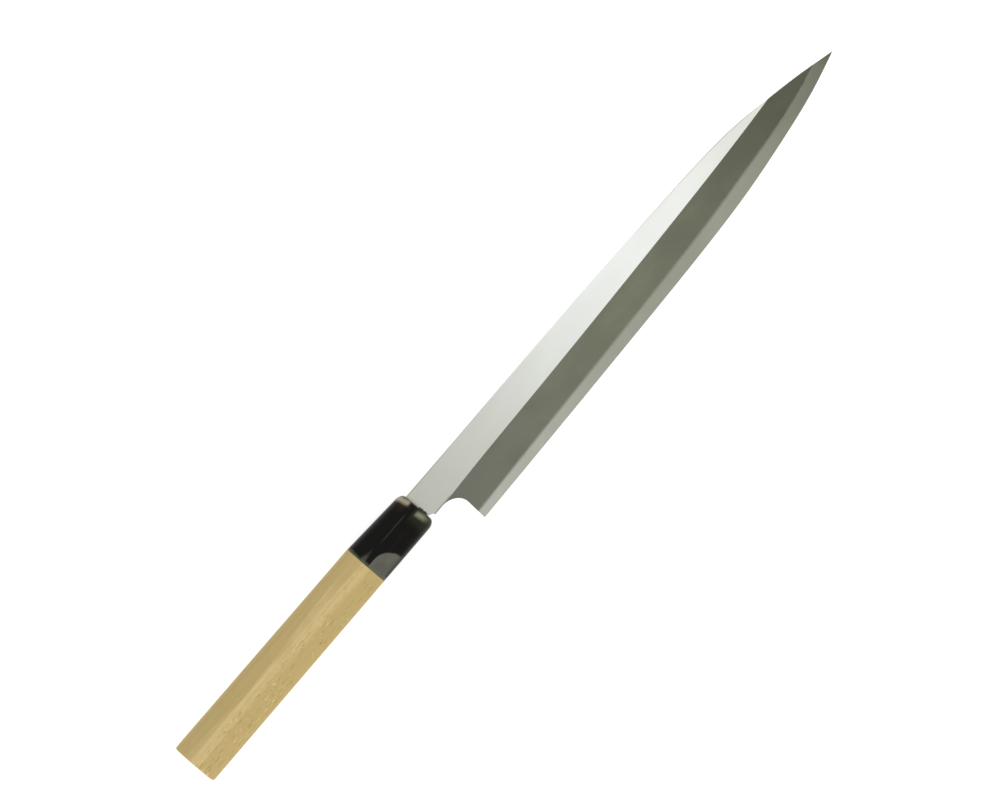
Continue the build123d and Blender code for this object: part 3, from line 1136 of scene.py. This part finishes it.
@dataclass(frozen=True)
class Blade:
    """The two-metal blade, in millimetres: the iron body with its tang, and the layer of edge steel on its back."""

    heel_x: float = -42.2
    edge_length: float = 240.0
    axis_y: float = 7.0
    axis_z: float = 9.0
    back_z: float = 7.0
    spine_rise: float = 5.9
    heel_drop: float = 24.4
    tip_drop: float = 7.6
    heel_heading: float = 1.2
    tip_heading: float = 15.5
    spine_heading: float = 13.4
    neck_drop: float = 8.05
    notch_reach: float = 8.3
    notch_height: float = 6.8
    heel_lean: float = 0.55
    wall_x: float = -64.9
    shoulder_x: float = -54.6
    shoulder_y: float = -0.35
    slant_length: float = 2.6
    root_low_y: float = 1.05
    tang_end_x: float = -152.0
    tang_end_height: float = 5.6
    tang_end_thickness: float = 2.6
    heel_thickness: float = 4.0
    bevel_width: float = 16.62
    rear_share: float = -0.034
    rear_bevel_share: float = 0.986
    edge_land: float = 0.06
    tip_fall: float = 1.65
    spine_fall: float = 0.2
    spine_round: float = 0.45
    ease_start_x: float = -58.0
    ease_start_length: float = 2.0
    ease_end_length: float = 12.0
    steel_thickness: float = 1.0
    steel_overlap: float = 6.0
    steel_overrun: float = 3.0
    hollow_depth: float = 0.4
    edge_rim: float = 1.2
    spine_rim: float = 1.8
    hollow_end_round: float = 9.0
    grid_along: float = 2.0
    grid_across: float = 1.6
    station_shares: tuple[float, ...] = (0.0, 0.2, 0.4, 0.6, 0.73, 0.83, 0.92, 1.0)
    edge_rise_shares: tuple[float, ...] = (0.0, 0.0575, 0.125, 0.212, 0.332, 0.506, 0.716, 1.0)
    bevel_shares: tuple[float, ...] = (1.0, 1.021, 1.028, 1.038, 0.996, 0.904, 0.811, 0.711)
    steel_shares: tuple[float, ...] = (0.92, 1.0, 1.0, 0.98, 1.0, 0.86, 0.84, 0.9)
    spine_length_shares: tuple[float, ...] = (0.0, 0.2, 0.4, 0.59, 0.73, 0.8, 0.86, 0.93, 1.0)
    spine_fall_shares: tuple[float, ...] = (0.0, -0.01, -0.006, 0.05, 0.128, 0.246, 0.441, 0.69, 1.0)
    hollow_station_shares: tuple[float, ...] = (0.012, 0.06, 0.2, 0.4, 0.6, 0.73, 0.83, 0.9, 0.955)
    hollow_depth_shares: tuple[float, ...] = (0.6, 0.8, 1.0, 1.0, 0.95, 0.85, 0.65, 0.4, 0.25)

    def place(self, share: np.ndarray) -> np.ndarray:
        """The place along X of a share of the edge's length."""
        return self.heel_x + self.edge_length * np.asarray(share)

    def edge(self) -> Curve:
        """The cutting edge in plan."""
        rises = np.asarray(self.edge_rise_shares) * (self.heel_drop - self.tip_drop)
        slopes = (math.tan(math.radians(turn)) for turn in (self.heel_heading, self.tip_heading))
        return Curve.through(self.place(self.station_shares), self.axis_y - self.heel_drop + rises, *slopes)

    def spine(self) -> Curve:
        """The spine in plan."""
        falls = np.asarray(self.spine_fall_shares) * (self.spine_rise + self.tip_drop)
        slope = -math.tan(math.radians(self.spine_heading))
        return Curve.through(self.place(self.spine_length_shares), self.axis_y + self.spine_rise - falls, 0.0, slope)

    def upper_side(self, x: np.ndarray) -> np.ndarray:
        """The upper side in plan: the spine, and behind the heel the neck, which is straight."""
        return np.where(x < self.heel_x, self.axis_y + self.spine_rise, self.spine()(x))

    def top_line(self) -> Curve:
        """The bevel's top line in plan."""
        shares = (self.rear_share, *self.station_shares)
        rise = self.edge_rise_shares[1] * self.rear_share / self.station_shares[1]
        rises = np.asarray((rise, *self.edge_rise_shares)) * (self.heel_drop - self.tip_drop)
        widths = np.asarray((self.rear_bevel_share, *self.bevel_shares)) * self.bevel_width
        return Curve.through(self.place(shares), self.axis_y - self.heel_drop + rises + widths)

    def side_height(self, x: np.ndarray, y: np.ndarray) -> np.ndarray:
        """The height of the flat side."""
        along = self.tip_fall / self.edge_length * (x - self.heel_x)
        low = self.axis_y - self.heel_drop + self.bevel_width
        across = self.spine_fall / (self.spine_rise + self.heel_drop - self.bevel_width) * (y - low)
        return self.back_z + self.heel_thickness - along - across

    def bevel_height(self, x: np.ndarray, y: np.ndarray) -> np.ndarray:
        """The height of the bevel, which rises from the edge's land to the flat side at its top line."""
        low, high = self.edge()(x), self.top_line()(x)
        start = self.back_z + self.edge_land
        return start + (self.side_height(x, high) - start) * (y - low) / (high - low)

    def weld_height(self, x: np.ndarray, y: np.ndarray) -> np.ndarray:
        """The height of the weld between the two metals, which the forging leaves a little uneven."""
        shares = np.asarray(self.station_shares)
        stations = self.place(shares) - self.steel_overlap * (1 - shares) + self.steel_overrun * shares
        return self.back_z + self.steel_thickness * np.interp(x, stations, self.steel_shares) + 0 * y

    def weld_line(self, x: np.ndarray) -> np.ndarray:
        """The weld's place across, where it comes out on the bevel."""
        low, high = self.edge()(x), self.top_line()(x)
        start = self.back_z + self.edge_land
        share = (self.weld_height(x, x) - start) / (self.side_height(x, high) - start)
        return low + (high - low) * share

    def weld_points(self) -> list[tuple[float, float]]:
        """Points of the weld's line in plan, from behind the heel to past the tip."""
        xs = np.linspace(self.heel_x - 2.0, self.place(1.0), 28)
        return [(float(x), float(y)) for x, y in zip(xs, self.weld_line(xs))]

    def hollow_ends(self) -> np.ndarray:
        """The places along X where the hollow starts and ends."""
        return self.place(self.hollow_station_shares)[[0, -1]]

    def inside_hollow(self, x: np.ndarray) -> np.ndarray:
        """How far inside the hollow a place along X is: 0 at its ends and outside them, 1 past their rounds."""
        start, end = self.hollow_ends()
        return np.clip(np.minimum(x - start, end - x) / self.hollow_end_round, 0.0, 1.0)

    def hollow_sides(self, x: np.ndarray) -> tuple[np.ndarray, np.ndarray]:
        """The hollow's two sides in plan, which close in a round at each end."""
        low, high = self.edge()(x) + self.edge_rim, self.spine()(x) - self.spine_rim
        half = (high - low) / 2 * np.sqrt(1 - (1 - self.inside_hollow(x)) ** 2)
        return (low + high) / 2 - half, (low + high) / 2 + half

    def back_height(self, x: np.ndarray, y: np.ndarray) -> np.ndarray:
        """The height of the back, with its hollow."""
        low, high = self.hollow_sides(x)
        half = np.maximum((high - low) / 2, 1e-6)
        depths = Curve.through(self.place(self.hollow_station_shares), self.hollow_depth_shares)(x)
        near = self.inside_hollow(x)
        depth = depths * self.hollow_depth * (1 - (1 - near) ** 2)
        across = np.clip(1 - ((y - (low + high) / 2) / half) ** 2, 0.0, 1.0)
        return self.back_z + np.where(near > 0.0, depth * across, 0.0)

    def ease(self, x: np.ndarray) -> np.ndarray:
        """The round of the spine's front corner, which ends in the ferrule's slot and where the bevel runs out."""
        begun = np.clip((x - self.ease_start_x) / self.ease_start_length, 0, 1)
        left = np.clip((self.run_out() - x) / self.ease_end_length, 0, 1)
        return self.spine_round * begun * left

    def run_out(self) -> float:
        """The place along X where the bevel's top line meets the spine."""
        xs = np.linspace(self.heel_x, self.place(1.0) - 1.0, 4000)
        return float(xs[np.argmax(self.top_line()(xs) > self.spine()(xs))])

    def eased_height(self, x: np.ndarray, y: np.ndarray) -> np.ndarray:
        """The height of the flat side with its eased corner at the spine."""
        radius = np.maximum(self.ease(x), 1e-9)
        away = np.clip(radius - (self.upper_side(x) - y), 0.0, radius)
        return self.side_height(x, y) - (radius - np.sqrt(radius**2 - away**2))

    def front_height(self, x: np.ndarray, y: np.ndarray) -> np.ndarray:
        """The height of the front: the flat side and the bevel."""
        side = self.eased_height(x, y)
        behind = x < self.place(self.rear_share)
        return np.where((y < self.top_line()(x)) & ~behind, np.minimum(self.bevel_height(x, y), side), side)

    def outline(self) -> list[tuple[float, float]]:
        """The blade's plan from the ferrule's wall to the tip, counterclockwise from the root's lower corner."""
        low = self.axis_y - self.neck_drop
        notch_x = self.heel_x + self.heel_lean - self.notch_reach
        points = [
            (self.wall_x, self.root_low_y),
            (self.shoulder_x - self.slant_length, self.root_low_y),
            (self.shoulder_x, self.shoulder_y),
            (self.shoulder_x, low),
            (notch_x, low),
        ]
        for turn in np.radians(np.linspace(87, 0, 30)):
            x = notch_x + self.notch_reach * math.cos(turn)
            points.append((x, low - self.notch_height + self.notch_height * math.sin(turn)))
        tip = self.place(1.0)
        xs = np.concatenate([np.linspace(self.heel_x, tip - 40, 200)[:-1], np.linspace(tip - 40, tip, 60)])
        points += [(self.heel_x + self.heel_lean / 2, (low - self.notch_height + self.axis_y - self.heel_drop) / 2)]
        points += list(zip(xs, self.edge()(xs)))
        back = xs[::-1][1:]
        points += list(zip(back, self.spine()(back)))
        points += [(x, self.axis_y + self.spine_rise) for x in np.linspace(self.heel_x - 1, self.wall_x, 20)]
        return [(float(x), float(y)) for x, y in points]

    def lines(self) -> list[np.ndarray]:
        """The lines inside the plan that its triangles keep: bevel's top, weld, steel's rear end, ease and hollow."""
        tip, out = self.place(1.0), self.run_out()
        found = []
        xs = np.linspace(self.place(self.rear_share) + 0.1, out + 2, 260)
        found.append(np.column_stack([xs, self.top_line()(xs)]))
        xs = np.linspace(self.heel_x - 0.5, tip - 1.0, 300)
        found.append(np.column_stack([xs, self.weld_line(xs)]))
        rear = self.heel_x - self.steel_overlap
        rear_sides = (self.axis_y - self.neck_drop - 3.0, self.axis_y + self.spine_rise + 1.0)
        found.append(np.array([(rear, side) for side in rear_sides]))
        for turn in (0.0, 20.0, 40.0, 60.0):
            xs = np.linspace(self.ease_start_x + 0.2, out - 0.3, 260)
            inwards = self.ease(xs) * (1 - math.sin(math.radians(turn)))
            found.append(np.column_stack([xs, self.upper_side(xs) - inwards]))
        start, end = self.hollow_ends()
        turns = np.linspace(0, math.pi / 2, 20)
        ends = self.hollow_end_round * (1 - np.cos(turns))
        xs = np.concatenate([start + ends, np.linspace(start, end, 240)[10:-10], end - ends[::-1]])
        xs.sort()
        low, high = self.hollow_sides(xs)
        found.append(np.column_stack([np.append(xs, xs[::-1]), np.append(low, high[::-1])]))
        return found

    def plan(self) -> tuple[np.ndarray, list[tuple[int, int, int]]]:
        """Cuts the plan into triangles that keep its lines.

        Returns:
            The plan's points, and its triangles as three numbers of points.
        """
        outline = self.outline()
        points = [Vector(p) for p in outline]
        edges = []
        for line in self.lines():
            first = len(points)
            points += [Vector((float(x), float(y))) for x, y in line]
            edges += [(first + i, first + i + 1) for i in range(len(line) - 1)]
        columns = np.arange(self.wall_x + self.grid_along, self.place(1.0) - self.grid_along, self.grid_along)
        for column, x in enumerate(columns):
            for y in np.arange(-16.5, 12.5, self.grid_across) + self.grid_across / 2 * (column % 2):
                inside = self.edge()(x) + 0.4 < y < self.spine()(x) - 0.7 if x > self.heel_x + 1 else 0.2 < y < 12.0
                if inside:
                    points.append(Vector((float(x), float(y))))
        flat, _, triangles, *_ = delaunay_2d_cdt(points, edges, [list(range(len(outline)))], 1, 1e-5)
        return np.array([tuple(p) for p in flat], float), [tuple(t) for t in triangles]


class BladeMaker:
    """Builds the blade's two pieces from one plan."""

    def __init__(self, blade: Blade) -> None:
        """Cuts the plan and sorts its triangles into zones."""
        self.blade = blade
        self.flat, self.triangles = blade.plan()
        middle = np.array([self.flat[list(t)].mean(0) for t in self.triangles])
        x, y = middle[:, 0], middle[:, 1]
        behind = x < blade.place(blade.rear_share)
        self.steel = x > blade.heel_x - blade.steel_overlap
        bevel = (y < blade.top_line()(x)) & ~behind
        band = bevel & self.steel & (y < blade.weld_line(x))
        self.zone = np.where(band, Zone.BAND.value, np.where(bevel, Zone.BEVEL.value, Zone.FLAT.value))
        low, high = blade.hollow_sides(x)
        self.hollow = (y > low) & (y < high) & (blade.inside_hollow(x) > 0.0)
        self.eased = blade.upper_side(x) - y < blade.ease(x)

    def slopes(self, height: Height) -> np.ndarray:
        """The upward normals of a height at the plan's points."""
        step = 0.02
        x, y = self.flat.T
        along = (height(x + step, y) - height(x - step, y)) / (2 * step)
        across = (height(x, y + step) - height(x, y - step)) / (2 * step)
        normals = np.column_stack([-along, -across, np.ones_like(along)])
        return normals / np.linalg.norm(normals, axis=1)[:, None]

    def skin(
        self,
        chosen: np.ndarray,
        top: Height,
        bottom: Height,
        top_finish: Callable[[int], Finish],
        bottom_finish: Callable[[int], Finish],
        wall_finish: Callable[[np.ndarray, np.ndarray], Finish],
        normals_of: Callable[[int, bool], Union[np.ndarray, None]],
        open_wall: Callable[[np.ndarray, np.ndarray], bool] = lambda a, b: False,
    ) -> Skin:
        """Raises some of the plan's triangles between two heights and closes them with walls.

        Args:
            chosen: True for each triangle that belongs to the piece.
            top: the height of the top.
            bottom: the height of the bottom.
            top_finish: the finish of a triangle's top.
            bottom_finish: the finish of a triangle's bottom.
            wall_finish: the finish of the wall over an edge of the plan.
            normals_of: the plan's normals that a triangle takes, for its top or its bottom, or None.
            open_wall: True for an edge of the plan that gets no wall.

        Returns:
            The skin.
        """
        skin = Skin([], [], [], [])
        x, y = self.flat[:, 0], self.flat[:, 1]
        tops, bottoms = top(x, y), bottom(x, y)
        numbers: dict[tuple[int, bool], int] = {}

        def vertex(point: int, upper: bool) -> int:
            """The number of the vertex over a point of the plan. Where top and bottom meet there is one."""
            meet = abs(tops[point] - bottoms[point]) < THINNEST
            key = (point, upper and not meet)
            if key not in numbers:
                numbers[key] = len(skin.points)
                z = tops[point] if upper and not meet else bottoms[point]
                skin.points.append((float(x[point]), float(y[point]), float(z)))
            return numbers[key]

        def add(corners: Sequence[int], finish: Finish, normals: Sequence[Point]) -> None:
            """Adds a face, without corners that fall together."""
            kept = [i for i in range(len(corners)) if corners[i] != corners[i - 1]]
            if len(kept) > 2:
                skin.faces.append(tuple(corners[i] for i in kept))
                skin.finishes.append(finish)
                skin.normals.append(tuple(normals[i] for i in kept))

        sides: dict[tuple[int, int], int] = {}
        for number, triangle in enumerate(self.triangles):
            if not chosen[number]:
                continue
            for upper in (True, False):
                order = triangle if upper else triangle[::-1]
                source = normals_of(number, upper)
                normals = [(0.0, 0.0, 0.0)] * 3
                if source is not None:
                    normals = [tuple(source[p] if upper else -source[p]) for p in order]
                finish = top_finish(number) if upper else bottom_finish(number)
                add([vertex(p, upper) for p in order], finish, normals)
            for a, b in zip(triangle, triangle[1:] + triangle[:1]):
                sides[(a, b)] = number
        for a, b in sides:
            if (b, a) in sides or open_wall(self.flat[a], self.flat[b]):
                continue
            corners = [vertex(a, False), vertex(b, False), vertex(b, True), vertex(a, True)]
            add(corners, wall_finish(self.flat[a], self.flat[b]), [(0.0, 0.0, 0.0)] * 4)
        return skin

    def side_finish(self, number: int) -> Finish:
        """The finish of a triangle of the flat side, whose eased corner is finished with the spine."""
        return Finish.SPINE if self.eased[number] else Finish.FLAT_SIDE

    def body(self, materials: dict[Finish, bpy.types.Material]) -> bpy.types.Object:
        """The soft-iron body with its tang.

        Args:
            materials: the material of each finish.

        Returns:
            The body's object.
        """
        blade = self.blade
        rear = blade.heel_x - blade.steel_overlap

        def under(x: np.ndarray, y: np.ndarray) -> np.ndarray:
            """The body's underside: the weld, and behind the steel the plane of the back."""
            return np.where(x > rear + SAME_X, blade.weld_height(x, y), blade.back_z)

        bevel, front = self.slopes(blade.bevel_height), self.slopes(blade.eased_height)

        def normals_of(number: int, upper: bool) -> Union[np.ndarray, None]:
            """The normals that a triangle takes."""
            if not upper:
                return None
            return front if self.zone[number] == Zone.FLAT.value else bevel

        skin = self.skin(
            self.zone != Zone.BAND.value,
            blade.front_height,
            under,
            lambda n: Finish.HAZE if self.zone[n] == Zone.BEVEL.value else self.side_finish(n),
            lambda n: Finish.SCALE if self.steel[n] else Finish.RIM,
            lambda a, b: Finish.SPINE,
            normals_of,
            lambda a, b: max(a[0], b[0]) < blade.wall_x + SAME_X,
        )
        self.add_tang(skin)
        finishes = (Finish.FLAT_SIDE, Finish.HAZE, Finish.SPINE, Finish.SCALE, Finish.RIM)
        return skin.piece("iron_body", finishes, materials)

    def add_tang(self, skin: Skin) -> None:
        """Adds the tapered tang behind the open rear wall of the neck."""
        blade = self.blade
        rear = [i for i, p in enumerate(skin.points) if p[0] < blade.wall_x + SAME_X]
        middle_y = (blade.root_low_y + blade.axis_y + blade.spine_rise) / 2
        rear.sort(key=lambda i: math.atan2(skin.points[i][2] - blade.axis_z, skin.points[i][1] - middle_y))
        first = len(skin.points)
        half_height, half_thickness = blade.tang_end_height / 2, blade.tang_end_thickness / 2
        for i in rear:
            up, out = skin.points[i][1] > middle_y, skin.points[i][2] > blade.axis_z
            skin.points.append(
                (
                    blade.tang_end_x,
                    blade.axis_y + (half_height if up else -half_height),
                    blade.axis_z + (half_thickness if out else -half_thickness),
                )
            )
        count = len(rear)
        faces = [(rear[i], first + i, first + (i + 1) % count, rear[(i + 1) % count]) for i in range(count)]
        faces.append(tuple(first + i for i in range(count))[::-1])
        for face in faces:
            skin.faces.append(face)
            skin.finishes.append(Finish.SCALE)
            skin.normals.append(((0.0, 0.0, 0.0),) * len(face))

    def edge_steel(self, materials: dict[Finish, bpy.types.Material]) -> bpy.types.Object:
        """The layer of edge steel with its hollow back.

        Args:
            materials: the material of each finish.

        Returns:
            The steel's object.
        """
        blade = self.blade

        def over(x: np.ndarray, y: np.ndarray) -> np.ndarray:
            """The steel's top: the weld, or the bevel where that is lower."""
            return np.minimum(blade.weld_height(x, y), blade.bevel_height(x, y))

        bevel, back = self.slopes(blade.bevel_height), self.slopes(blade.back_height)

        def normals_of(number: int, upper: bool) -> Union[np.ndarray, None]:
            """The normals that a triangle takes."""
            if upper:
                return bevel if self.zone[number] == Zone.BAND.value else None
            return back if self.hollow[number] else None

        skin = self.skin(
            self.steel,
            over,
            blade.back_height,
            lambda n: Finish.BAND if self.zone[n] == Zone.BAND.value else Finish.SCALE,
            lambda n: Finish.HOLLOW if self.hollow[n] else Finish.RIM,
            lambda a, b: Finish.SPINE,
            normals_of,
        )
        finishes = (Finish.BAND, Finish.SCALE, Finish.HOLLOW, Finish.RIM, Finish.SPINE)
        return skin.piece("edge_steel_layer", finishes, materials)


@dataclass(frozen=True)
class Lamp:
    """A soft square lamp, in metres, with the share of full light that it throws on a level face at the knife."""

    name: str
    place: Point
    size: float
    share: float
    aim: Point = (0.0, 0.0, 0.0)

    def hang(self) -> None:
        """Puts the lamp in the scene."""
        lamp = bpy.data.lights.new(self.name, "AREA")
        lamp.shape = "SQUARE"
        lamp.size = self.size
        way = Vector(self.place) - Vector(self.aim)
        lamp.energy = self.share * math.pi**2 * way.length**3 / way.z
        made = bpy.data.objects.new(self.name, lamp)
        made.location = self.place
        made.rotation_mode = "QUATERNION"
        made.rotation_quaternion = way.to_track_quat("Z", "Y")
        bpy.context.scene.collection.objects.link(made)


@dataclass(frozen=True)
class Studio:
    """Camera, lamps, floor and world. Lengths are in metres."""

    middle: tuple[float, float] = (-0.0013, 0.0095)
    level: float = 0.009
    distance: float = 4.0
    view_width: float = 0.413
    roll: float = 49.3
    world_light: float = 0.7
    floor_light: float = 0.52
    floor_size: float = 8.0
    floor_level: float = -0.0001
    floor_colour: Colour = shade(246, 246, 246)
    lamps: tuple[Lamp, ...] = (
        Lamp("key lamp", (-0.9, -0.6, 0.6), 0.4, 0.15),
        Lamp("fill lamp", (0.5, 0.75, 0.8), 0.5, 0.10),
    )

    def seen(self, tree: bpy.types.NodeTree) -> Field:
        """1 for rays that the camera or a gloss sees, 0 for the light on the object."""
        node = tree.nodes.new("ShaderNodeLightPath")
        rays = [Field(tree, node.outputs[name]) for name in ("Is Camera Ray", "Is Glossy Ray", "Is Transmission Ray")]
        return rays[0].math("MAXIMUM", rays[1]).math("MAXIMUM", rays[2])

    def light(self) -> None:
        """Sets the world and hangs the lamps."""
        world = bpy.data.worlds.new("studio")
        world.use_nodes = True
        ground = world.node_tree.nodes["Background"]
        ground.inputs["Color"].default_value = (1.0, 1.0, 1.0, 1.0)
        plug(self.seen(world.node_tree) * (1 - self.world_light) + self.world_light, ground.inputs["Strength"])
        bpy.context.scene.world = world
        for lamp in self.lamps:
            lamp.hang()

    def floor(self) -> None:
        """Lays a white floor, which shows nearly white to the camera and keeps the knife's shadow."""
        mesh = bpy.data.meshes.new("floor")
        half = self.floor_size / 2
        corners = [(x * half, y * half, self.floor_level) for x, y in ((-1, -1), (1, -1), (1, 1), (-1, 1))]
        mesh.from_pydata(corners, [], [(0, 1, 2, 3)])
        material = bpy.data.materials.new("white floor")
        material.use_nodes = True
        surface = material.node_tree.nodes["Principled BSDF"]
        surface.inputs["Base Color"].default_value = self.floor_colour
        surface.inputs["Roughness"].default_value = 1.0
        surface.inputs["Specular IOR Level"].default_value = 0.0
        surface.inputs["Emission Color"].default_value = (1.0, 1.0, 1.0, 1.0)
        plug(self.seen(material.node_tree) * self.floor_light, surface.inputs["Emission Strength"])
        mesh.materials.append(material)
        made = bpy.data.objects.new("floor", mesh)
        bpy.context.scene.collection.objects.link(made)

    def camera(self) -> None:
        """Sets the camera straight over the knife, turned so that the blade points up to the right."""
        data = bpy.data.cameras.new("camera")
        data.sensor_width = 36.0
        data.lens = data.sensor_width * self.distance / self.view_width
        made = bpy.data.objects.new("camera", data)
        made.location = (*self.middle, self.level + self.distance)
        made.rotation_euler = (0.0, 0.0, -math.radians(self.roll))
        bpy.context.scene.collection.objects.link(made)
        bpy.context.scene.camera = made


def main() -> None:
    """Builds the studio and the knife's four pieces in order."""
    bpy.context.scene.view_settings.view_transform = "Standard"
    studio = Studio()
    studio.camera()
    studio.light()
    studio.floor()
    blade = Blade()
    weld = blade.weld_points()
    materials = {finish: finish.value.material(weld) for finish in Finish}
    maker = BladeMaker(blade)
    stand_in(maker.body(materials), "blade_body")
    stand_in(maker.edge_steel(materials), "edge_steel")
    tree = GripTree()
    grip = Grip()
    stand_in(grip.ferrule(tree), "ferrule")
    stand_in(grip.handle(tree), "handle")


if __name__ == "__main__":
    logging.basicConfig(level=logging.INFO, format="%(name)s: %(message)s")
    main()
